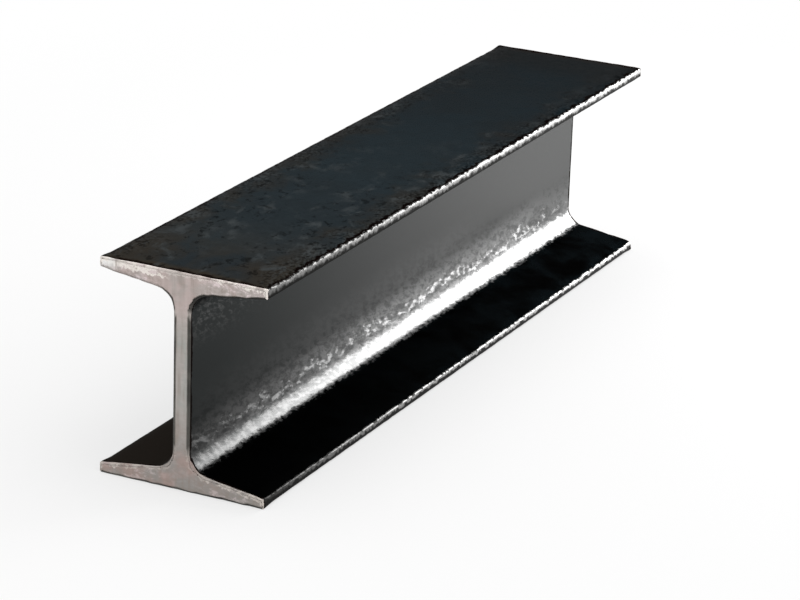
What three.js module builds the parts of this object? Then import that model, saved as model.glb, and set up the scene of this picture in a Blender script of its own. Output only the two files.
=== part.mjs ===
// A short length of hot-rolled steel beam with tapered flanges, sawn square at both ends.
//
// Millimetres, +Z up. The beam lies on its lower flange and its length runs along Y. The origin is
// at the middle of the underside, so X goes across the flanges and Z up the web.

import * as THREE from "three";

// The length of stock, and the section it is rolled to.
const LENGTH = 614;
const DEPTH = 152.4;
const FLANGE_WIDTH = 125;
const WEB_THICKNESS = 12.6;

// A rolled flange is thickest at the web and thinnest at the toe. Its thickness is given halfway
// along the outstand, which is the part of the flange that stands out from the web's face.
const FLANGE_THICKNESS = 11.2;
const FLANGE_TAPER = THREE.MathUtils.degToRad(8);

// The round between web and flange, and the small one on both corners of the flange's edge.
const ROOT_RADIUS = 15;
const TOE_RADIUS = 1;

const ARC_STEPS = 6;

const steel = new THREE.MeshStandardMaterial({
  name: "mill_scale_steel",
  color: 0x3c3c3b,
  roughness: 0.6,
  metalness: 0.8,
});

// The corners of the section before they are rounded, anticlockwise from the lower right toe.
// Each corner is a point in the section's plane, x across and y up, with the radius of its round.
function sectionCorners() {
  const toe = FLANGE_WIDTH / 2;
  const web = WEB_THICKNESS / 2;
  const halfRise = ((toe - web) / 2) * Math.tan(FLANGE_TAPER);
  const toeThickness = FLANGE_THICKNESS - halfRise;
  const rootThickness = FLANGE_THICKNESS + halfRise;

  const lowerRight = [
    { x: toe, y: 0, radius: TOE_RADIUS },
    { x: toe, y: toeThickness, radius: TOE_RADIUS },
    { x: web, y: rootThickness, radius: ROOT_RADIUS },
  ];
  const upperRight = lowerRight.map(({ x, y, radius }) => ({ x, y: DEPTH - y, radius })).reverse();
  const right = [...lowerRight, ...upperRight];
  const left = right.map(({ x, y, radius }) => ({ x: -x, y, radius })).reverse();
  return [...right, ...left];
}

// An outline through the corners, with each corner replaced by an arc tangent to its two sides.
// Two neighbouring arcs never take more than the side between them, so a round is limited by
// the wall that it is on.
function roundedOutline(corners) {
  const outline = new THREE.Shape();
  const count = corners.length;
  const points = corners.map(({ x, y }) => new THREE.Vector2(x, y));

  // How much of a side an arc takes up for each millimetre of its radius.
  const reachPerRadius = points.map((point, i) => {
    const toPrevious = points[(i + count - 1) % count].clone().sub(point).normalize();
    const toNext = points[(i + 1) % count].clone().sub(point).normalize();
    const corner = Math.acos(THREE.MathUtils.clamp(toPrevious.dot(toNext), -1, 1));
    return 1 / Math.tan(corner / 2);
  });

  // The share of its wanted radius that the arc at corner i can keep on the side to corner j.
  const shareOnSide = (i, j) => {
    const wanted = corners[i].radius * reachPerRadius[i] + corners[j].radius * reachPerRadius[j];
    return Math.min(1, points[i].distanceTo(points[j]) / wanted);
  };

  corners.forEach((corner, i) => {
    const previous = (i + count - 1) % count;
    const next = (i + 1) % count;
    const radius = corner.radius * Math.min(shareOnSide(i, previous), shareOnSide(i, next));
    const arriving = points[i].clone().sub(points[previous]).normalize();
    const leaving = points[next].clone().sub(points[i]).normalize();
    const turnsLeft = arriving.cross(leaving) > 0;

    // The centre is square off the arriving side, on the side that the outline turns towards.
    const towardsCentre = new THREE.Vector2(-arriving.y, arriving.x).multiplyScalar(turnsLeft ? 1 : -1);
    const centre = points[i]
      .clone()
      .addScaledVector(arriving, -radius * reachPerRadius[i])
      .addScaledVector(towardsCentre, radius);
    const startAngle = Math.atan2(-towardsCentre.y, -towardsCentre.x);
    const turn = Math.atan2(arriving.cross(leaving), arriving.dot(leaving));
    outline.absarc(centre.x, centre.y, radius, startAngle, startAngle + turn, !turnsLeft);
  });
  outline.closePath();
  return outline;
}

// The section is drawn in X and Y and drawn out along Z, then stood up so that the section's
// height is Z and the beam's length is Y, half on each side of the origin.
function rolledBeam() {
  const geometry = new THREE.ExtrudeGeometry(roundedOutline(sectionCorners()), {
    depth: LENGTH,
    curveSegments: ARC_STEPS,
    bevelEnabled: false,
  });
  const beam = new THREE.Mesh(geometry, steel);
  beam.name = "h_beam";
  beam.rotation.x = Math.PI / 2;
  beam.position.y = LENGTH / 2;
  return beam;
}

const model = new THREE.Group();
model.add(rolledBeam());

export default model;
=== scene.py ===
"""The looks of a short length of hot-rolled steel beam with tapered flanges, sawn at both ends.

Metres, in the CAD part's own frame: X across the flanges, Y along the beam, Z up from the floor.
The near sawn end, which the camera sees, is the one at low Y.
"""

import math

import bpy
import numpy as np
from mathutils import Matrix, Vector, noise
from mathutils.geometry import delaunay_2d_cdt


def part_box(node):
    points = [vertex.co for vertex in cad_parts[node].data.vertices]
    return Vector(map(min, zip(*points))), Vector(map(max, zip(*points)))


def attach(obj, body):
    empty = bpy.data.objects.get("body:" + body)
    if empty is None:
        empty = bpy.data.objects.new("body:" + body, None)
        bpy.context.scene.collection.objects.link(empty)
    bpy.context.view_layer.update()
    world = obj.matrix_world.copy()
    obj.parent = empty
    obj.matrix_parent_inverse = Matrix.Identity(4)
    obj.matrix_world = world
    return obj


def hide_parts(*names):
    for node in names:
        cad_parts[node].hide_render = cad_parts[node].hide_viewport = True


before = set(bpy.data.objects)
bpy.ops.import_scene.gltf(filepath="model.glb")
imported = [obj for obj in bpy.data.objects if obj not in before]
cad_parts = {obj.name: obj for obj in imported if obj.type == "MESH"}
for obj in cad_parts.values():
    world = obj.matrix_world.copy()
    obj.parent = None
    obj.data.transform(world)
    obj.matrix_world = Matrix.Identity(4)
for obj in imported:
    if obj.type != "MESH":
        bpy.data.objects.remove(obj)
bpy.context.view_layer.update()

MM = 0.001

# --- The rolled section: the CAD node gives its outside sizes, and the rest are the part's own ----
BEAM_LOW, BEAM_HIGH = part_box("h_beam")
LENGTH = BEAM_HIGH.y - BEAM_LOW.y
DEPTH = BEAM_HIGH.z - BEAM_LOW.z
FLANGE_WIDTH = BEAM_HIGH.x - BEAM_LOW.x
WEB_THICKNESS = 12.6 * MM
FLANGE_THICKNESS = 11.2 * MM
FLANGE_TAPER = math.radians(8)
ROOT_RADIUS = 15 * MM
TOE_RADIUS = 1 * MM

TOE_X = FLANGE_WIDTH / 2
HALF_RISE = (TOE_X - WEB_THICKNESS / 2) / 2 * math.tan(FLANGE_TAPER)
TOE_THICKNESS = FLANGE_THICKNESS - HALF_RISE
ROOT_TOP = FLANGE_THICKNESS + HALF_RISE + ROOT_RADIUS * math.tan((math.pi / 2 - FLANGE_TAPER) / 2)

# --- Mesh density -------------------------------------------------------------------------------
STATION_STEP = 1.5 * MM
OUTER_FACE_STEP = 5 * MM
WEB_STEP = 5 * MM
INNER_FACE_STEP = 5 * MM
TOE_FACE_STEP = 1 * MM
ROOT_STEPS = 12
TOE_STEPS = 4
SAWN_EDGE_STEPS = 4
END_GRID = 1.2 * MM

# The ends' grid keeps this share of its step clear of their outline.
END_GRID_CLEARANCE = 0.55

# --- Wear and relief: depths are how far the real surface lies inside the rolled section ---------
SAWN_EDGE_RADIUS = 1.0 * MM
SAWN_EDGE_RADIUS_RANGE = 0.35 * MM, 2.0 * MM
NICK_DEPTH = 0.35 * MM
TOE_CROWN = 0.60 * MM
TOE_WOBBLE = 0.42 * MM
ROOT_DENT = 0.10 * MM
FACE_SAG = 0.12 * MM

# Widths of the borders along the sawn ends' outline, in which highlight and shade are painted.
WEB_SHADE_RIM_WIDTH = 1.3 * MM
RIM_SHADE_WIDTH = 0.7 * MM
RIM_HIGHLIGHT_WIDTH = 1.7 * MM

# The relief's noise: how fast its octaves fade, how much finer each is, and how far a seed moves it.
OCTAVE_FADE, OCTAVE_STEP = 0.9, 2.1
SEED_SHIFT = (17.3, 5.1, 9.7)


def section_corners():
    """The section's corners before rounding, anticlockwise from the lower right toe."""
    web = WEB_THICKNESS / 2
    lower_right = [
        (TOE_X, 0.0, TOE_RADIUS, "outer_toe"),
        (TOE_X, TOE_THICKNESS, TOE_RADIUS, "inner_toe"),
        (web, FLANGE_THICKNESS + HALF_RISE, ROOT_RADIUS, "root"),
    ]
    right = lower_right + [(x, DEPTH - z, r, kind) for x, z, r, kind in reversed(lower_right)]
    return right + [(-x, z, r, kind) for x, z, r, kind in reversed(right)]


def corner_arcs():
    """For each corner, the points of its round, their outward normals, its mitre and its kind.

    A mitre is how a point moves when both sides of its corner move outwards by one, so that a
    round keeps its radius and an outline moved in along its mitres never folds over.
    """
    corners = section_corners()
    arcs = []
    for i, (x, z, radius, kind) in enumerate(corners):
        here = np.array([x, z])
        before = here - np.array(corners[i - 1][:2])
        after = np.array(corners[(i + 1) % len(corners)][:2]) - here
        before, after = before / np.linalg.norm(before), after / np.linalg.norm(after)
        turn = math.atan2(before[0] * after[1] - before[1] * after[0], before @ after)
        side = math.copysign(1, turn)
        to_centre = side * np.array([-before[1], before[0]])
        centre = here - before * radius * math.tan(abs(turn) / 2) + to_centre * radius
        start = math.atan2(-to_centre[1], -to_centre[0])
        steps = ROOT_STEPS if kind == "root" else TOE_STEPS
        angles = start + turn * np.linspace(0, 1, steps + 1)
        spokes = np.stack([np.cos(angles), np.sin(angles)], axis=1)
        mitre = side * (spokes[0] + spokes[-1]) / (1 + spokes[0] @ spokes[-1])
        arcs.append((centre + radius * spokes, side * spokes, mitre, kind))
    return arcs


# What lies between two corners, by their kinds, and how finely it is divided.
SIDES = {
    ("outer_toe", "inner_toe"): ("toe_face", TOE_FACE_STEP),
    ("inner_toe", "root"): ("inner_face", INNER_FACE_STEP),
    ("root", "root"): ("web", WEB_STEP),
    ("outer_toe", "outer_toe"): ("outer_face", OUTER_FACE_STEP),
}

# The zones that make up a flange's edge.
TOE_ZONES = "outer_toe", "inner_toe", "toe_face"


def section_outline():
    """Points, outward normals, mitres and zone names round the section, in its X-Z plane."""
    arcs = corner_arcs()
    points, normals, mitres, zones = [], [], [], []
    for i, (arc, arc_normals, mitre, kind) in enumerate(arcs):
        points += list(arc)
        normals += list(arc_normals)
        mitres += [mitre] * len(arc)
        zones += [kind] * len(arc)
        next_arc, _, next_mitre, next_kind = arcs[(i + 1) % len(arcs)]
        zone, step = SIDES.get((kind, next_kind)) or SIDES[(next_kind, kind)]
        gap = next_arc[0] - arc[-1]
        count = max(1, round(np.linalg.norm(gap) / step))
        for k in range(1, count):
            points.append(arc[-1] + gap * k / count)
            normals.append(arc_normals[-1])
            mitres.append(mitre + (next_mitre - mitre) * k / count)
            zones.append(zone)
    return np.array(points), np.array(normals), np.array(mitres), np.array(zones)


def smoothstep(low, high, value):
    """Goes from 0 at low to 1 at high, eased at both ends."""
    t = np.clip((value - low) / (high - low), 0, 1)
    return t * t * (3 - 2 * t)


def noise_at(points, per_metre, seed, octaves=3):
    """Fractal noise, about -1 to 1, at each point; per_metre is the number of lumps in a metre."""
    shift = Vector([seed * s for s in SEED_SHIFT])
    places = [Vector(p) * per_metre + shift for p in points]
    return np.array([noise.fractal(place, OCTAVE_FADE, OCTAVE_STEP, octaves) for place in places])


def up_edge(z):
    """How far up its flange's edge a height lies, from 0 at the edge's bottom to 1 at its top."""
    return np.where(z < DEPTH / 2, z, z - (DEPTH - TOE_THICKNESS)) / TOE_THICKNESS


def relief(verts, zones):
    """How deep each rolled point lies below the nominal section: sagging faces, dents and nicks."""
    toe = np.isin(zones, TOE_ZONES)
    lower_root = (zones == "root") & (verts[:, 2] < DEPTH / 2)
    sag = noise_at(verts, per_metre=14, seed=1, octaves=2)
    dents = noise_at(verts[lower_root], per_metre=260, seed=2)
    depth = FACE_SAG * smoothstep(-0.6, 0.8, sag)
    depth[lower_root] += ROOT_DENT * smoothstep(-0.5, 0.7, dents)
    at_toe = verts[toe]
    raised = up_edge(at_toe[:, 2])

    # The edges are knotted and nicked, most of all along the top of the right ones. The knots are
    # drawn out across and up the edge.
    knots = noise_at(at_toe * (0.4, 1, 0.4), per_metre=110, seed=3)
    nicks = noise_at(at_toe, per_metre=150, seed=4, octaves=2)
    knotted = 0.25 + 0.75 * smoothstep(0.3, 0.7, raised) * (at_toe[:, 0] > 0)
    rough = TOE_WOBBLE * smoothstep(-0.7, 0.7, knots) + NICK_DEPTH * smoothstep(0.35, 0.75, nicks)

    # Their corners are worn round away from the cuts, except the upper flange's lower ones.
    crown = TOE_CROWN * (2 * raised - 1) ** 2
    crown *= smoothstep(2 * MM, 14 * MM, BEAM_HIGH.y - abs(at_toe[:, 1]))
    crown[(at_toe[:, 2] > DEPTH / 2) & (raised < 0.5)] = 0
    depth[toe] = knotted * rough + crown
    return depth


def rolled_rings(outline, mitres, zones):
    """Rings of points along the beam; the last few at each end turn in over the sawn edge."""
    count = len(outline)

    def ring(y, inset):
        """The section at y, with each point moved inwards by its inset."""
        flat = outline - mitres * np.broadcast_to(inset, count)[:, None]
        return np.column_stack([flat[:, 0], np.broadcast_to(y, count), flat[:, 1]])

    def sawn_edge(end, outward):
        """Rings that round over from the rolled surface to the end's face."""
        at = ring(end, 0)
        uneven = 0.8 * noise_at(at, per_metre=150, seed=5) + 0.6 * noise_at(at, per_metre=420, seed=6)
        radius = SAWN_EDGE_RADIUS * (1 + np.where(zones == "web", 0.1, 1.0) * uneven)
        radius = np.clip(radius, *SAWN_EDGE_RADIUS_RANGE)
        base = relief(at, zones)
        turned = np.linspace(0, math.pi / 2, SAWN_EDGE_STEPS + 1)
        back = [end - outward * radius * (1 - math.sin(a)) for a in turned]
        inset = [base + radius * (1 - math.cos(a)) for a in turned]
        return [ring(y, depth) for y, depth in zip(back, inset)]

    stations = np.linspace(BEAM_LOW.y, BEAM_HIGH.y, round(LENGTH / STATION_STEP) + 1)[1:-1]
    middle = [ring(y, relief(ring(y, 0), zones)) for y in stations]
    return sawn_edge(BEAM_LOW.y, -1)[::-1] + middle + sawn_edge(BEAM_HIGH.y, 1)


# A side of an outline is taken to be at least this long, squared, so that one whose ends meet, as in
# a round of no radius, can still be divided by.
NO_LENGTH_SQUARED = 1e-12


def points_inside(outline, step):
    """A triangular grid of points inside a closed outline and clear of its edge.

    With it come each point's distance from the outline and the outline's point nearest to it.
    """
    low, high = outline.min(0), outline.max(0)
    grid = []
    for row, z in enumerate(np.arange(low[1] + step, high[1], step * math.sqrt(3) / 2)):
        shift = step / 2 if row % 2 else 0
        grid += [(x, z) for x in np.arange(low[0] + shift, high[0], step)]
    grid = np.array(grid)

    inside = np.zeros(len(grid), bool)
    distance = np.full(len(grid), np.inf)
    nearest = np.zeros(len(grid), int)
    for i, (a, b) in enumerate(zip(outline, np.roll(outline, -1, axis=0))):
        crosses = (a[1] > grid[:, 1]) != (b[1] > grid[:, 1])
        with np.errstate(divide="ignore", invalid="ignore"):
            where = a[0] + (grid[:, 1] - a[1]) / (b[1] - a[1]) * (b[0] - a[0])
        inside ^= crosses & (grid[:, 0] < where)
        side = b - a
        along = np.clip(((grid - a) @ side) / max(side @ side, NO_LENGTH_SQUARED), 0, 1)
        gap = np.linalg.norm(grid - a - along[:, None] * side, axis=1)
        closer = gap < distance
        distance[closer] = gap[closer]
        nearest[closer] = (i + (along[closer] > 0.5)) % len(outline)
    kept = inside & (distance > step * END_GRID_CLEARANCE)
    return grid[kept], distance[kept], nearest[kept]


# What delaunay_2d_cdt is asked for: the triangles inside the outline, in which points that lie
# closer together than this, in millimetres, are one.
TRIANGLES_INSIDE = 1
SAME_POINT = 1e-5


def end_faces(outline):
    """A grid of points that fills a sawn end, and the triangles that join it to the outline.

    The triangles number the outline's points first. With them come each grid point's distance from
    the outline and the outline's point nearest to it.
    """
    flat = outline / MM
    grid, distance, nearest = points_inside(flat, END_GRID / MM)
    points = [Vector(p) for p in np.vstack([flat, grid])]
    boundary = list(range(len(flat)))
    _, _, faces, origins, _, _ = delaunay_2d_cdt(points, [], [boundary], TRIANGLES_INSIDE, SAME_POINT)
    triangles = [[origins[v][0] for v in face] for face in faces]
    return grid * MM, triangles, distance * MM, nearest


def masks(outline, normals, zones):
    """Numbers round the section by name, which tell the materials what kind of surface they are on.

    With them comes the width of a sawn end's border beside each point.
    """
    z = outline[:, 1]
    rise = np.degrees(np.arcsin(np.clip(normals[:, 1], -1, 1)))
    edge = np.isin(zones, TOE_ZONES)

    # How far the surface above the lower flange has turned, from upright at 0 to the flange's at 1.
    turning = np.isin(zones, ("root", "inner_face", "inner_toe")) & (z < DEPTH / 2)
    turned = np.where(turning, rise / (90 - math.degrees(FLANGE_TAPER)), 0)

    outer = np.where(zones == "outer_face", 1, 0)
    outer = np.where(zones == "outer_toe", smoothstep(50, 70, np.abs(rise)), outer)

    # The border of a sawn end gets painted highlight where the surface beside it faces up or is a toe,
    # else painted shade.
    rim = smoothstep(-0.2, 0.2, normals[:, 1])
    rim = np.where(zones == "web", 0, np.where(edge & (np.abs(rise) < 60), 1, rim))
    rim_width = RIM_SHADE_WIDTH + rim * (RIM_HIGHLIGHT_WIDTH - RIM_SHADE_WIDTH)
    rim_width[zones == "web"] = WEB_SHADE_RIM_WIDTH
    marks = {"turned": turned, "edge": edge, "up_edge": up_edge(z), "outer": outer, "rim": rim}
    return marks, rim_width


# The slots of the beam's two materials.
MILL_SCALE, SAWN_STEEL = 0, 1

# The highest inset that is kept, which is far past the border.
WELL_INSIDE = 3


def faces_between(last, count):
    """The faces between rings 0 to last of count points each, and their material slots."""
    faces, slots = [], []
    for r in range(last):
        sawn = r < SAWN_EDGE_STEPS or r >= last - SAWN_EDGE_STEPS
        for k in range(count):
            n = (k + 1) % count
            faces.append((r * count + k, r * count + n, (r + 1) * count + n, (r + 1) * count + k))
            slots.append(SAWN_STEEL if sawn else MILL_SCALE)
    return faces, slots


def make_mesh(name, verts, faces, slots, marks):
    """A smooth mesh that carries each mark as a number at each point."""
    mesh = bpy.data.meshes.new(name)
    mesh.from_pydata(verts.tolist(), [], faces)
    mesh.validate()
    mesh.polygons.foreach_set("material_index", slots)
    mesh.polygons.foreach_set("use_smooth", [True] * len(slots))
    for mark, numbers in marks.items():
        made = mesh.attributes.new(mark, "FLOAT", "POINT")
        made.data.foreach_set("value", numbers.astype(np.float32))
    mesh.update()
    return mesh


def beam_mesh():
    """One closed mesh: rings of the rolled section, and the sawn ends that close it."""
    outline, normals, mitres, zones = section_outline()
    marks, rim_width = masks(outline, normals, zones)
    rings = rolled_rings(outline, mitres, zones)
    count, last = len(outline), len(rings) - 1
    faces, slots = faces_between(last, count)

    # Each point takes its marks from a point of the outline. Its inset is how far it lies from the
    # outline of a sawn end, in widths of the border there.
    verts = np.vstack(rings)
    sources = [np.tile(np.arange(count), len(rings))]
    insets = [np.zeros(len(verts))]
    for end in (0, last):
        grid, triangles, distance, nearest = end_faces(rings[end][:, [0, 2]])
        sources.append(nearest)
        insets.append(np.minimum(distance / rim_width[nearest], WELL_INSIDE))
        first, first_inner = end * count, len(verts) - count
        y = np.full(len(grid), rings[end][0, 1])
        verts = np.vstack([verts, np.column_stack([grid[:, 0], y, grid[:, 1]])])
        for triangle in triangles:
            face = [v + (first if v < count else first_inner) for v in triangle]
            faces.append(face[::-1] if end == last else face)
            slots.append(SAWN_STEEL)

    source = np.concatenate(sources)
    marks = {mark: numbers[source] for mark, numbers in marks.items()}
    marks["inset"] = np.concatenate(insets)
    return make_mesh("rolled_beam", verts, faces, slots, marks)


# Where a noise texture's values mostly lie.
USUAL_NOISE = 0.3, 0.7

# The mix node's sockets go by number, because those for numbers and colours share their names: its
# share, and for each kind of value both inputs and the result.
MIX_SHARE = 0
MIX_SOCKETS = {"FLOAT": (2, 3, 0), "RGBA": (6, 7, 2)}


class Graph:
    """A material's node tree, with short calls for the nodes that the materials are made of."""

    def __init__(self, name):
        self.material = bpy.data.materials.new(name)
        self.material.use_nodes = True
        self.tree = self.material.node_tree
        self.shader = self.tree.nodes["Principled BSDF"]
        self.place = self.node("ShaderNodeTexCoord").outputs["Object"]
        axes = self.node("ShaderNodeSeparateXYZ", {"Vector": self.place})
        self.across, self.along, self.up = axes.outputs

    def node(self, kind, inputs=None, **settings):
        made = self.tree.nodes.new(kind)
        for name, value in settings.items():
            setattr(made, name, value)
        for name, value in (inputs or {}).items():
            self.plug(value, made.inputs[name])
        return made

    def plug(self, value, socket):
        if isinstance(value, bpy.types.NodeSocket):
            self.tree.links.new(value, socket)
        elif socket.type == "RGBA" and len(value) == 3:
            socket.default_value = (*value, 1)
        else:
            socket.default_value = value

    def shade(self, inputs):
        for name, value in inputs.items():
            self.plug(value, self.shader.inputs[name])

    def attribute(self, name):
        return self.node("ShaderNodeAttribute", attribute_name=name).outputs["Fac"]

    def point(self, x, y, z):
        return self.node("ShaderNodeCombineXYZ", {"X": x, "Y": y, "Z": z}).outputs["Vector"]

    def stretched(self, x, y, z):
        made = self.node("ShaderNodeMapping", {"Vector": self.place, "Scale": (x, y, z)})
        return made.outputs["Vector"]

    def noise(self, per_metre, detail=4.0, roughness=0.5, distortion=0.0, at=None):
        """Noise about 0.5, with this many lumps in a metre and this many finer octaves."""
        inputs = {"Vector": at or self.place, "Scale": per_metre, "Detail": detail}
        inputs |= {"Roughness": roughness, "Distortion": distortion}
        return self.node("ShaderNodeTexNoise", inputs).outputs["Fac"]

    def math(self, operation, a, b=0.0):
        return self.node("ShaderNodeMath", {0: a, 1: b}, operation=operation).outputs[0]

    def plus(self, a, b):
        return self.math("ADD", a, b)

    def minus(self, a, b):
        return self.math("SUBTRACT", a, b)

    def abs(self, value):
        return self.math("ABSOLUTE", value)

    def times(self, *factors):
        product = factors[0]
        for factor in factors[1:]:
            product = self.math("MULTIPLY", product, factor)
        return product

    def most(self, *values):
        """The highest of the values."""
        highest = values[0]
        for value in values[1:]:
            highest = self.math("MAXIMUM", highest, value)
        return highest

    def remap(self, value, low, high, to_low=0.0, to_high=1.0, ease="SMOOTHSTEP"):
        """Goes from to_low to to_high as the value goes from low to high, and no further."""
        inputs = {"Value": value, "From Min": low, "From Max": high}
        inputs |= {"To Min": to_low, "To Max": to_high}
        return self.node("ShaderNodeMapRange", inputs, interpolation_type=ease).outputs["Result"]

    def spread(self, noise_value, low, high):
        """Goes from low to high over the values that a noise mostly has."""
        return self.remap(noise_value, *USUAL_NOISE, low, high)

    def between(self, kind, share, a, b):
        first, second, result = MIX_SOCKETS[kind]
        inputs = {MIX_SHARE: share, first: a, second: b}
        return self.node("ShaderNodeMix", inputs, data_type=kind).outputs[result]

    def mix(self, share, a, b):
        """Colour a, going to colour b as share goes from 0 to 1."""
        return self.between("RGBA", share, a, b)

    def blend(self, share, a, b):
        """Number a, going to number b as share goes from 0 to 1."""
        return self.between("FLOAT", share, a, b)

    def bump(self, height, depth, normal=None):
        inputs = {"Height": height, "Distance": depth, "Strength": 1.0}
        if normal is not None:
            inputs["Normal"] = normal
        return self.node("ShaderNodeBump", inputs).outputs["Normal"]

    def tilt(self, normal, rise):
        """The normal leaning upwards; on an upright face, rise is the tangent of the angle."""
        lift = self.point(0, 0, rise)
        leaning = self.node("ShaderNodeVectorMath", {0: normal, 1: lift}, operation="ADD").outputs[0]
        return self.node("ShaderNodeVectorMath", {0: leaning}, operation="NORMALIZE").outputs[0]


# The pattern of the marks on the sides counts only this share of the beam's length, so that they
# are drawn out along it, and it leans by this much, so that they rise towards the near end.
SIDE_SHARE = 0.45
SIDE_LEAN = 0.25

# The pattern of the smears on the outer faces lies askew: its own ways across and along are these
# shares of the beam's ways across and along.
SMEAR_ACROSS = 0.50, 0.22
SMEAR_ALONG = 0.21, -0.32


class RolledGraph(Graph):
    """A node tree for the rolled surface, which knows where on the beam a place is."""

    def __init__(self, name):
        super().__init__(name)
        self.turned, self.outer = self.attribute("turned"), self.attribute("outer")
        self.edge = self.remap(self.attribute("edge"), 0.9, 1.0)
        self.up_edge = self.attribute("up_edge")

        # How far a place is from the near end, from the closer end, in from the closer toe and
        # above the lower root.
        self.from_near = self.minus(self.along, BEAM_LOW.y)
        self.from_end = self.minus(BEAM_HIGH.y, self.abs(self.along))
        self.from_toe = self.minus(TOE_X, self.abs(self.across))
        self.above_root = self.minus(self.up, ROOT_TOP)

        # From 0 at the near end to 1 at the far one.
        self.far = self.remap(self.from_near, 0.0, LENGTH, ease="LINEAR")

        # Where a place lies in the pattern of the sides' marks and in that of the outer faces' smears.
        leaning = self.plus(self.up, self.times(self.along, SIDE_LEAN))
        self.rolled = self.point(self.across, self.times(self.along, SIDE_SHARE), leaning)
        self.smeared = self.point(self.shares(*SMEAR_ACROSS), self.shares(*SMEAR_ALONG), self.up)

    def shares(self, of_across, of_along):
        """These shares of the beam's ways across and along, added up."""
        return self.plus(self.times(self.across, of_across), self.times(self.along, of_along))


# Reflectances of the rolled skin; a pair is its tone by the near end and further along.
# The rises towards the far end in the web, flake, root, shelf and toe pairs are painted sheen and
# highlight.
OUTER_BLUE = (0.057, 0.078, 0.090), (0.018, 0.031, 0.040)
OUTER_GREY = (0.045, 0.054, 0.060), (0.022, 0.025, 0.026)
OUTER_BROWN = (0.082, 0.065, 0.046), (0.033, 0.030, 0.028)
OUTER_PALE = (0.124, 0.140, 0.146)
OUTER_WORN = (0.220, 0.225, 0.220)
OUTER_BLACK = (0.006, 0.006, 0.006)
CUT_BLACK = (0.012, 0.007, 0.006)
# The web brightens towards the far end as painted sheen.
WEB_SHEEN_TONES = (0.043, 0.046, 0.046), (0.198, 0.200, 0.199)
# Black for painted shade on the web and on the lower flange.
WEB_SHADE_BLACK = (0.003, 0.003, 0.003)
# Bare and flaked scale by the lower root; their rise towards the far end is painted highlight.
FLAKED_HIGHLIGHT_TONES = (0.130, 0.130, 0.129), (0.70, 0.70, 0.70)
FLAKE_HIGHLIGHT_TONES = (0.060, 0.060, 0.060), (0.30, 0.30, 0.30)
# The burnished root: burnish, with painted highlight that rises steeply towards the far end.
ROOT_BURNISH_HIGHLIGHT_TONES = (0.145, 0.145, 0.144), (0.680, 0.680, 0.680)
# The lower flange's inner face: painted black shade, with a faint painted bluish sheen towards the far
# end.
SHELF_SHADE_TONES = WEB_SHADE_BLACK, (0.012, 0.016, 0.018)
SHELF_BROWN = (0.030, 0.025, 0.021)
# The toe faces lighten towards the far end as painted sheen.
TOE_FACE_SHEEN_TONES = (0.030, 0.030, 0.029), (0.080, 0.080, 0.079)
# The toes' worn tones, with painted highlight that grows towards the far end.
UPPER_TOE_WEAR_HIGHLIGHT = (0.230, 0.229, 0.225), (0.900, 0.895, 0.885)
LOWER_TOE_WEAR_HIGHLIGHT = (0.045, 0.044, 0.043), (0.950, 0.945, 0.935)

# How much of its reflectance the skin keeps at a grazing angle.
SCALE_TINT = (0.42, 0.42, 0.42)

# How far the flakes and the upper part of the burnished root lean up, as tangents.
FLAKE_LEAN, ROOT_LEAN = 0.8, 0.07


def outer_skin(g):
    """The flat outer faces: blue-grey scale, browner and flecked by the toes and the near end."""
    near = g.remap(g.from_near, 430 * MM, 90 * MM)
    drift = g.spread(g.noise(45, detail=3, roughness=0.6), -9 * MM, 9 * MM)
    from_border = g.plus(g.from_toe, drift)
    by_toe = g.times(g.remap(from_border, 34 * MM, 8 * MM), g.remap(g.far, 0.4, 1.0, 1.0, 0.55))
    by_near = g.times(near, g.remap(from_border, 62 * MM, 38 * MM, 0.15, 0.82))
    by_cut = g.remap(g.plus(g.from_end, g.times(drift, 0.3)), 15 * MM, 4 * MM, 0.0, 0.9)
    busy = g.most(by_toe, by_near)
    tinge = g.times(g.remap(g.noise(10, detail=3, roughness=0.5, distortion=0.5), 0.40, 0.64), 0.4)
    tinge = g.most(tinge, g.remap(g.from_end, 85 * MM, 25 * MM, 0.0, 0.8))
    skin = g.mix(tinge, g.mix(g.far, *OUTER_BLUE), g.mix(g.far, *OUTER_GREY))

    # Rust-brown patches by the toes and the near end, closing up in its corners and along the cuts.
    very_near = g.remap(g.from_near, 140 * MM, 30 * MM)
    corner = g.times(very_near, g.remap(from_border, 50 * MM, 15 * MM))
    rusty = g.remap(g.noise(60, detail=5, roughness=0.6, distortion=0.4, at=g.smeared), 0.32, 0.60)
    rusty = g.times(rusty, g.most(by_toe, g.times(very_near, 0.8)), 0.65)
    rusty = g.most(rusty, g.times(corner, 0.75), by_cut)
    skin = g.mix(g.times(rusty, 0.9), skin, g.mix(g.far, *OUTER_BROWN))

    # Soft pale wisps and black flecks, and close to the toes fine specks of both.
    pale = g.remap(g.far, 0.5, 0.9, 1.0, 0.35)
    wisps = g.remap(g.noise(120, detail=6, roughness=0.62, distortion=0.5, at=g.smeared), 0.50, 0.70)
    skin = g.mix(g.times(wisps, pale, g.remap(busy, 0.0, 0.8, 0.04, 0.70)), skin, OUTER_PALE)
    flecks = g.remap(g.noise(300, detail=5, roughness=0.65, distortion=0.4, at=g.smeared), 0.54, 0.64)
    skin = g.mix(g.times(flecks, g.remap(busy, 0.0, 0.8, 0.03, 0.60)), skin, OUTER_BLACK)
    specks = g.noise(800, detail=2, roughness=0.6, at=g.smeared)
    speckled = g.remap(from_border, 20 * MM, 5 * MM)
    skin = g.mix(g.times(g.remap(specks, 0.52, 0.60), pale, speckled, 0.3), skin, OUTER_PALE)
    return g.mix(g.times(g.remap(specks, 0.47, 0.40), pale, speckled, 0.5), skin, OUTER_BLACK)


def web_foot(g):
    """How far the scale has gone at the foot of the web."""
    return g.times(g.remap(g.above_root, 29 * MM, 2 * MM), g.remap(g.far, 0.8, 0.95, 1.0, 0.2))


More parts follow.
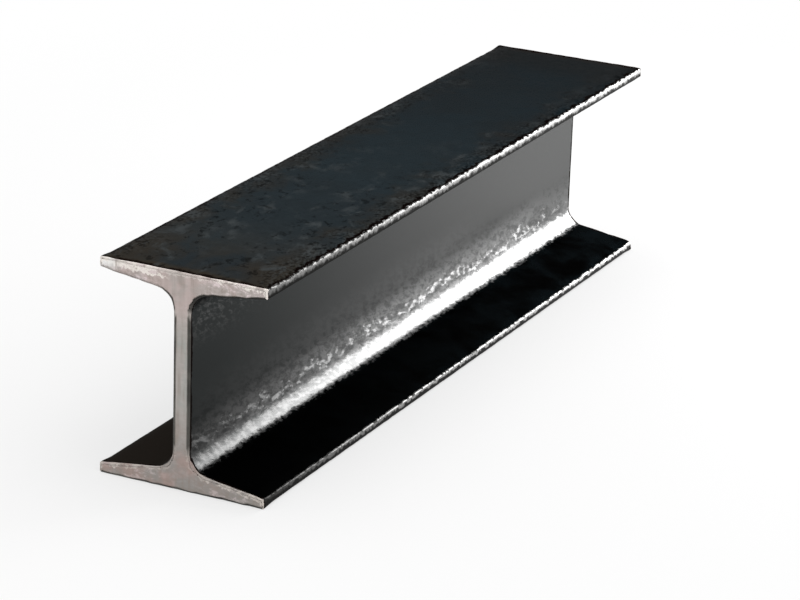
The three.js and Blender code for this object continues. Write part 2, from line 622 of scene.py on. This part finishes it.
def web_skin(g, tone, foot):
    """The web's scale, lost in a soft mottle at the foot and in the near upper corner, with painted
    shade just above the lower root.
    """
    mottled = g.noise(260, detail=5, roughness=0.74, distortion=0.3, at=g.rolled)
    mottled = g.remap(mottled, 0.38, 0.62, 0.38, 0.95)
    broken = g.noise(380, detail=4, roughness=0.68, distortion=0.6, at=g.rolled)
    corner = g.remap(g.from_near, 130 * MM, 10 * MM)
    corner = g.times(corner, g.remap(g.up, 92 * MM, 122 * MM), 0.5)
    corner = g.times(corner, g.remap(broken, 0.46, 0.64))
    haze = g.remap(g.above_root, 54 * MM, 12 * MM, 0.0, 0.18)
    haze = g.times(haze, mottled, g.remap(g.far, 0.8, 0.6))
    bare = g.most(g.times(foot, mottled), corner, haze)
    # The bare scale's tone rises over the near half as painted highlight.
    bare_tone = g.mix(g.remap(g.from_near, 0.0, LENGTH / 2, ease="LINEAR"), *FLAKED_HIGHLIGHT_TONES)
    # Painted shade darkens the web in a band just above the lower root.
    shade_above_root = g.remap(g.above_root, 36 * MM, 20 * MM, 0.0, 0.3)
    shade_above_root = g.times(shade_above_root, g.remap(mottled, 0.7, 0.2))
    return g.mix(bare, g.mix(shade_above_root, tone, WEB_SHADE_BLACK), bare_tone)


def loose_flakes(g):
    """Where the bright flakes are: mostly in a line that wanders just above the lower root."""
    wander = g.spread(g.noise(45, detail=3), -1 * MM, 6 * MM)
    off_line = g.abs(g.minus(g.above_root, wander))
    likely = g.remap(off_line, 14 * MM, 0.0, -0.24, 0.115, ease="LINEAR")
    flakes = g.remap(g.plus(g.noise(280, detail=5, roughness=0.70, at=g.rolled), likely), 0.51, 0.76)
    on_web = g.remap(g.turned, 0.18, 0.05)
    return g.times(flakes, on_web, g.remap(g.from_near, 537 * MM, 607 * MM, 1.0, 0.3))


def root_and_shelf(g):
    """Where the lower root is burnished, with painted highlight, and past its ragged edge the lower
    flange's painted black shade.
    """
    coarse = g.noise(200, detail=3, roughness=0.6, distortion=0.3, at=g.rolled)
    coarse = g.spread(coarse, -0.16, 0.16)
    fine = g.spread(g.noise(420, detail=4, roughness=0.6, at=g.rolled), -0.09, 0.09)
    begun = g.remap(g.turned, 0.0, 0.1)
    turn = g.plus(g.turned, g.times(fine, begun))
    shelf_shade = g.remap(turn, g.blend(g.far, 0.59, 0.67), g.blend(g.far, 0.78, 0.91))
    root = g.remap(g.plus(turn, g.times(coarse, begun)), 0.04, 0.29)
    return g.times(root, g.minus(1.0, shelf_shade)), shelf_shade


def side_skin(g, foot, flakes, root, shelf_shade):
    """The skin between the flanges' edges: web, roots and inner faces."""
    # The web's tone rises towards the far end: painted sheen.
    web_sheen_tone = g.mix(g.remap(g.from_near, -23 * MM, 547 * MM), *WEB_SHEEN_TONES)
    # The flakes' tone rises towards the far end as painted highlight.
    flake_tone = g.mix(g.remap(g.from_near, 0.0, 367 * MM), *FLAKE_HIGHLIGHT_TONES)
    side = g.mix(g.times(flakes, 0.85), web_skin(g, web_sheen_tone, foot), flake_tone)
    mottle = g.remap(g.noise(300, detail=3, roughness=0.55, at=g.rolled), 0.38, 0.62)
    mottle = g.times(mottle, g.remap(g.turned, 0.15, 0.45, 0.75, 0.40))
    # The burnished lower root takes a tone that rises towards the far end as painted highlight.
    side = g.mix(root, side, g.mix(mottle, g.mix(g.far, *ROOT_BURNISH_HIGHLIGHT_TONES), web_sheen_tone))
    # The toe faces' tone rises towards the far end: painted sheen.
    side = g.mix(g.edge, side, g.mix(g.far, *TOE_FACE_SHEEN_TONES))
    # The lower flange's inner face is painted black shade, with patches of painted sheen towards the
    # far end.
    far_sheen_patches = g.times(g.far, g.remap(g.noise(36, detail=3, roughness=0.55, distortion=0.4), 0.30, 0.72))
    shelf_tone = g.mix(g.remap(g.across, 0.0, -4 * MM), g.mix(far_sheen_patches, *SHELF_SHADE_TONES), SHELF_BROWN)
    return g.mix(shelf_shade, side, shelf_tone)


def scale_lines(g):
    """The dark lines of thick scale along the toes and along the cuts, and the worn left toes."""
    left = g.remap(g.across, -0.8 * TOE_X, -0.9 * TOE_X)
    left = g.times(left, g.remap(g.noise(260, detail=3, roughness=0.6), 0.48, 0.58))
    ragged = g.spread(g.noise(110, detail=5, roughness=0.7), -2.4 * MM, 2.4 * MM)
    toe_line = g.remap(g.plus(g.from_toe, g.times(ragged, 0.7)), 4.0 * MM, 3.2 * MM)
    toe_line = g.times(toe_line, g.outer, g.minus(1.0, left))
    end_line = g.plus(g.from_end, g.times(ragged, g.blend(g.outer, 0.4, 1.0)))
    reach, solid = g.blend(g.outer, 3.4 * MM, 6.0 * MM), g.blend(g.outer, 2.0 * MM, 3.0 * MM)
    end_line = g.remap(end_line, reach, solid)
    return toe_line, end_line, g.times(left, g.remap(g.from_toe, 1.8 * MM, 0.8 * MM))


def worn_and_highlit_edges(g):
    """Where the flanges' edges are worn bright and carry painted highlight, and their tone.

    The upper ones are worn and painted brighter towards the top, and the lower ones in a jagged line;
    both brighten towards the far end as painted highlight.
    """
    upper = g.remap(g.up, 0.4 * DEPTH, 0.6 * DEPTH)
    tone = g.mix(upper, g.mix(g.far, *LOWER_TOE_WEAR_HIGHLIGHT), g.mix(g.far, *UPPER_TOE_WEAR_HIGHLIGHT))
    jagged = g.plus(g.up_edge, g.spread(g.noise(220, detail=4, roughness=0.6), -0.18, 0.18))
    worn_highlight = g.blend(upper, g.remap(jagged, 0.54, 0.70), g.remap(jagged, 0.25, 0.75))
    top = g.remap(jagged, g.blend(upper, 1.04, 0.99), g.blend(upper, 0.93, 0.86))
    return g.times(worn_highlight, top, g.edge), tone


def mill_scale():
    """Dark oxide skin: flaked by the burnished lower roots, which carry painted highlight, and painted
    black shade on the flange below them.
    """
    g = RolledGraph("mill_scale")
    foot, flakes = web_foot(g), loose_flakes(g)
    root, shelf_shade = root_and_shelf(g)
    toe_line, end_line, worn_toe = scale_lines(g)
    worn_highlight, worn_highlight_tone = worn_and_highlit_edges(g)
    colour = g.mix(g.outer, side_skin(g, foot, flakes, root, shelf_shade), outer_skin(g))
    colour = g.mix(g.times(g.most(toe_line, end_line), 0.95), colour, CUT_BLACK)
    colour = g.mix(worn_toe, colour, OUTER_WORN)
    # The worn edges, with painted highlight along their tops.
    colour = g.mix(worn_highlight, colour, worn_highlight_tone)

    outer_roughness = g.spread(g.noise(140, detail=6, roughness=0.6, distortion=0.4), 0.28, 0.38)
    roughness = g.blend(g.outer, 0.42, outer_roughness)
    for share, value in ((foot, 0.52), (root, 0.26), (flakes, 0.38), (worn_highlight, 0.30), (end_line, 0.80)):
        roughness = g.blend(share, roughness, value)

    lumps = g.remap(g.most(root, g.times(foot, 0.5)), 0.0, 1.0, 0.03 * MM, 0.12 * MM)
    grain = g.remap(g.most(root, foot), 0.0, 1.0, 0.01 * MM, 0.03 * MM)
    normal = g.bump(g.noise(260, detail=2, roughness=0.5, at=g.rolled), lumps)
    normal = g.bump(g.noise(800, detail=2, roughness=0.5, at=g.rolled), grain, normal)

    # The flakes and the top of the root lean up, so that they catch the light.
    upper_root = g.times(root, g.remap(g.turned, 0.45, 0.30))
    normal = g.tilt(normal, g.most(g.times(flakes, FLAKE_LEAN), g.times(upper_root, ROOT_LEAN)))
    g.shade({
        "Base Color": colour,
        "Metallic": 1.0,
        "Roughness": roughness,
        "Specular Tint": SCALE_TINT,
        "Normal": normal,
    })
    return g.material


# Reflectances of the sawn ends; a pair is the two tones of a patchy one.
SAWN_PINK = (0.56, 0.470, 0.445)
SAWN_GREY = (0.41, 0.41, 0.385)
SAWN_BROWN = (0.33, 0.275, 0.24)
SAWN_LOW = (0.41, 0.315, 0.285)
SAWN_LOW_GREY = (0.34, 0.315, 0.295)
SAWN_ROSE = (0.84, 0.73, 0.73)
SAWN_PALE = (0.95, 0.89, 0.83)
SAWN_WHITE = (0.95, 0.95, 0.93)
# The borders' painted shade tones, their lower painted highlight, and painted black shade at the very
# edge.
RIM_SHADE = (0.060, 0.057, 0.050), (0.125, 0.120, 0.105)
RIM_LOW_HIGHLIGHT = (0.68, 0.62, 0.57)
EDGE_SHADE_BLACK = (0.012, 0.012, 0.011)

# Where the saw left an end brightest: from the upper left toe, where it is widest, to the web.
SCRAPE_START, SCRAPE_END = (-55 * MM, 150 * MM), (-12 * MM, 146.8 * MM)
SCRAPE_HALF_WIDTHS = 3.0 * MM, 1.3 * MM

# A dull smear that runs up from the right root.
SMEAR_X = 9 * MM
SMEAR_HALF_WIDTH = 5 * MM


def scraped(g):
    """Where the saw's bright scrape is."""
    along_scrape = g.remap(g.across, SCRAPE_START[0], SCRAPE_END[0], ease="LINEAR")
    line = g.blend(along_scrape, SCRAPE_START[1], SCRAPE_END[1])
    wander = g.spread(g.noise(260, detail=4, roughness=0.65), -1.8 * MM, 1.8 * MM)
    off_line = g.abs(g.plus(g.minus(g.up, line), wander))
    half_width = g.blend(along_scrape, *SCRAPE_HALF_WIDTHS)
    scrape = g.remap(off_line, half_width, g.times(half_width, 0.3))
    return g.times(scrape, g.remap(g.across, SCRAPE_END[0] + 4 * MM, SCRAPE_END[0] - 4 * MM), 0.9)


def sawn_face(g, high):
    """A sawn face's own colour: pinkish and grey, with smears along the flanges, and the scrape."""
    patches = g.remap(g.noise(45, detail=3, roughness=0.55, distortion=0.4), 0.40, 0.62)
    low = g.remap(g.up, 62 * MM, 20 * MM)
    right = g.remap(g.across, 8 * MM, 40 * MM)
    pinkness = g.blend(high, g.times(patches, 0.4), g.remap(patches, 0.0, 1.0, 1.0, 0.6))
    colour = g.mix(pinkness, SAWN_GREY, SAWN_PINK)
    colour = g.mix(low, colour, g.mix(g.most(patches, right), SAWN_LOW, SAWN_LOW_GREY))

    # The smears are palest on the upper flange.
    smears = g.noise(260, detail=5, roughness=0.7, distortion=0.4, at=g.stretched(0.5, 1, 1))
    outstand = g.remap(g.abs(g.across), 10 * MM, 24 * MM)
    outstand = g.times(outstand, g.most(high, g.times(low, 0.4)))
    rosy = g.times(g.remap(smears, 0.50, 0.62), g.blend(outstand, 0.08, 0.8))
    colour = g.mix(rosy, colour, SAWN_ROSE)
    dull = g.times(g.remap(smears, 0.48, 0.36), g.blend(g.most(outstand, low), 0.15, 0.5))
    smear = g.remap(g.abs(g.minus(g.across, SMEAR_X)), SMEAR_HALF_WIDTH, 0.0)
    colour = g.mix(g.most(dull, g.times(smear, high, 0.35)), colour, SAWN_BROWN)
    colour = g.mix(scraped(g), colour, SAWN_PALE)
    white = g.times(g.remap(g.across, -44 * MM, -58 * MM), g.remap(g.up, 143 * MM, 149 * MM))
    return g.mix(g.times(white, 0.9), colour, SAWN_WHITE)


def rims_lit_and_shaded(g, colour, high):
    """The colour with painted highlight and shade in the borders along the ends' outline.

    Painted shade is straight on the web and under the flanges, painted black at the very edge.
    Painted highlight is ragged and broken elsewhere. Under the upper flange's left half the shade is
    faint.
    """
    rim, inset = g.attribute("rim"), g.attribute("inset")
    ragged = g.spread(g.noise(420, detail=3, roughness=0.6), -0.6, 0.6)
    ragged = g.times(ragged, g.blend(rim, 0.05, 1.0))
    edge_share = g.remap(g.plus(inset, ragged), 1.2, 0.6)
    rim_highlight = g.remap(g.noise(130, detail=4, roughness=0.65), 0.42, 0.54, 0.15, 0.95)
    rim_highlight = g.times(rim_highlight, g.remap(g.abs(g.across), 8 * MM, 30 * MM, 0.35, 1.0))
    rim_highlight_tone = g.mix(g.remap(g.up, 0.6 * DEPTH, 0.4 * DEPTH), SAWN_PALE, RIM_LOW_HIGHLIGHT)
    rim_shade = g.blend(g.times(g.remap(g.across, -10 * MM, -20 * MM), high), 0.9, 0.3)
    rim_shade_tone = g.mix(g.remap(g.noise(90, detail=2), 0.40, 0.60), *RIM_SHADE)
    rim_share = g.times(edge_share, g.blend(rim, rim_shade, rim_highlight))
    colour = g.mix(rim_share, colour, g.mix(rim, rim_shade_tone, rim_highlight_tone))
    rim_shade_black = g.times(g.remap(inset, 0.3, 0.0), g.minus(1.0, rim), rim_shade)
    return g.mix(g.times(rim_shade_black, g.remap(g.across, 5 * MM, 9 * MM, 0.35, 0.95)), colour, EDGE_SHADE_BLACK)


def sawn_steel():
    """Bare steel left by the saw: pinkish and grey, faintly streaked, with painted highlight and shade
    round its rims.
    """
    g = Graph("sawn_steel")
    high = g.remap(g.up, 104 * MM, 132 * MM)
    streaks = g.noise(1, detail=3, roughness=0.6, at=g.stretched(260, 260, 18))
    streaky = g.remap(g.noise(60, detail=2), 0.40, 0.60, 0.10, 0.45)
    streaked = g.times(g.remap(streaks, 0.48, 0.62), streaky)
    colour = g.mix(streaked, sawn_face(g, high), SAWN_BROWN)
    colour = rims_lit_and_shaded(g, colour, high)
    normal = g.bump(streaks, 0.04 * MM)
    normal = g.bump(g.noise(600, detail=3, roughness=0.6), 0.04 * MM, normal)
    roughness = g.spread(streaks, 0.42, 0.52)
    g.shade({"Base Color": colour, "Metallic": 0.7, "Roughness": roughness, "Normal": normal})
    return g.material


def make_beam():
    beam = bpy.data.objects.new("rolled_beam", beam_mesh())
    bpy.context.scene.collection.objects.link(beam)
    beam.data.materials.append(mill_scale())
    beam.data.materials.append(sawn_steel())
    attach(beam, "root")
    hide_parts("h_beam")


# --- Stage, camera and light ---------------------------------------------------------------------
FLOOR_HALF = 40
FLOOR_TONE = (0.92, 0.92, 0.92)

# Seen by the camera or in a mirror, the floor is this share plain white out to the first distance
# from the beam's middle, where it keeps the beam's shadow, and all white from the second.
FLOOR_WHITE_SHARE = 0.6
FLOOR_WHITE_NEAR, FLOOR_WHITE_FAR = 0.3, 1.0


def floor_white():
    """Pale floor that keeps the beam's shadow, and further out looks plain white."""
    g = Graph("floor_white")
    g.shade({"Base Color": FLOOR_TONE, "Roughness": 0.9, "Specular IOR Level": 0.0})
    ray = g.node("ShaderNodeLightPath").outputs
    seen = g.most(ray["Is Glossy Ray"], ray["Is Transmission Ray"], ray["Is Camera Ray"])
    distance = g.node("ShaderNodeVectorMath", {"Vector": g.place}, operation="LENGTH").outputs["Value"]
    share = g.times(seen, g.remap(distance, FLOOR_WHITE_NEAR, FLOOR_WHITE_FAR, FLOOR_WHITE_SHARE, 1.0))
    white = g.node("ShaderNodeEmission", {"Color": (1, 1, 1), "Strength": 1.0}).outputs["Emission"]
    mixed = g.node("ShaderNodeMixShader", {"Fac": share})
    g.plug(g.shader.outputs["BSDF"], mixed.inputs[1])
    g.plug(white, mixed.inputs[2])
    g.plug(mixed.outputs["Shader"], g.tree.nodes["Material Output"].inputs["Surface"])
    return g.material


def make_floor():
    mesh = bpy.data.meshes.new("floor")
    s = FLOOR_HALF
    mesh.from_pydata([(-s, -s, 0), (s, -s, 0), (s, s, 0), (-s, s, 0)], [], [(0, 1, 2, 3)])
    floor = bpy.data.objects.new("floor", mesh)
    bpy.context.scene.collection.objects.link(floor)
    mesh.materials.append(floor_white())


# Where the near end's middle falls in the 800 x 600 picture, and where the camera sees it from.
PICTURE_WIDTH, PICTURE_HEIGHT = 800, 600
NEAR_END_PIXEL = (181.35, 382.95)
FOCAL_PIXELS = 3314
CAMERA_AZIMUTH = math.radians(26.05)
CAMERA_ELEVATION = math.radians(19.77)
CAMERA_ROLL = math.radians(1.90)
CAMERA_DISTANCE = 14.16 * DEPTH
SENSOR_WIDTH = 36
SEEN_DISTANCE = 100


def make_camera():
    forward = Vector((
        -math.cos(CAMERA_ELEVATION) * math.sin(CAMERA_AZIMUTH),
        math.cos(CAMERA_ELEVATION) * math.cos(CAMERA_AZIMUTH),
        -math.sin(CAMERA_ELEVATION),
    ))
    level = Vector((math.cos(CAMERA_AZIMUTH), math.sin(CAMERA_AZIMUTH), 0))
    upright = level.cross(forward)
    right = level * math.cos(CAMERA_ROLL) + upright * math.sin(CAMERA_ROLL)
    up = upright * math.cos(CAMERA_ROLL) - level * math.sin(CAMERA_ROLL)
    near_end = Vector((0, BEAM_LOW.y, DEPTH / 2))
    across = (NEAR_END_PIXEL[0] - PICTURE_WIDTH / 2) / FOCAL_PIXELS * CAMERA_DISTANCE
    above = (PICTURE_HEIGHT / 2 - NEAR_END_PIXEL[1]) / FOCAL_PIXELS * CAMERA_DISTANCE
    data = bpy.data.cameras.new("camera")
    data.sensor_width = SENSOR_WIDTH
    data.lens = FOCAL_PIXELS / PICTURE_WIDTH * SENSOR_WIDTH
    data.clip_end = SEEN_DISTANCE
    camera = bpy.data.objects.new("camera", data)
    place = near_end - forward * CAMERA_DISTANCE - right * across - up * above
    turn = Matrix((right, up, -forward)).transposed().to_4x4()
    camera.matrix_world = Matrix.Translation(place) @ turn
    bpy.context.scene.collection.objects.link(camera)
    bpy.context.scene.camera = camera


WORLD_STRENGTH = 0.6


def panel(name, place, aim, width, height, watts):
    """A rectangular area lamp that shines from its place towards its aim."""
    data = bpy.data.lights.new(name, "AREA")
    data.shape = "RECTANGLE"
    data.size, data.size_y = width, height
    data.energy = watts
    lamp = bpy.data.objects.new(name, data)
    lamp.location = place
    lamp.rotation_euler = (Vector(aim) - Vector(place)).to_track_quat("-Z", "Y").to_euler()
    bpy.context.scene.collection.objects.link(lamp)


def make_light():
    world = bpy.data.worlds.new("studio")
    world.use_nodes = True
    background = world.node_tree.nodes["Background"]
    background.inputs["Color"].default_value = (1, 1, 1, 1)
    background.inputs["Strength"].default_value = WORLD_STRENGTH
    bpy.context.scene.world = world
    panel("overhead", place=(0.1, -0.2, 2.2), aim=(0, 0, 0), width=2.5, height=2.5, watts=24)
    panel("back_right", place=(0.47, 1.1, 0.46), aim=(0, 0, 0.06), width=0.85, height=0.9, watts=9)


make_beam()
make_floor()
make_camera()
make_light()

bpy.context.scene.view_settings.view_transform = "Standard"
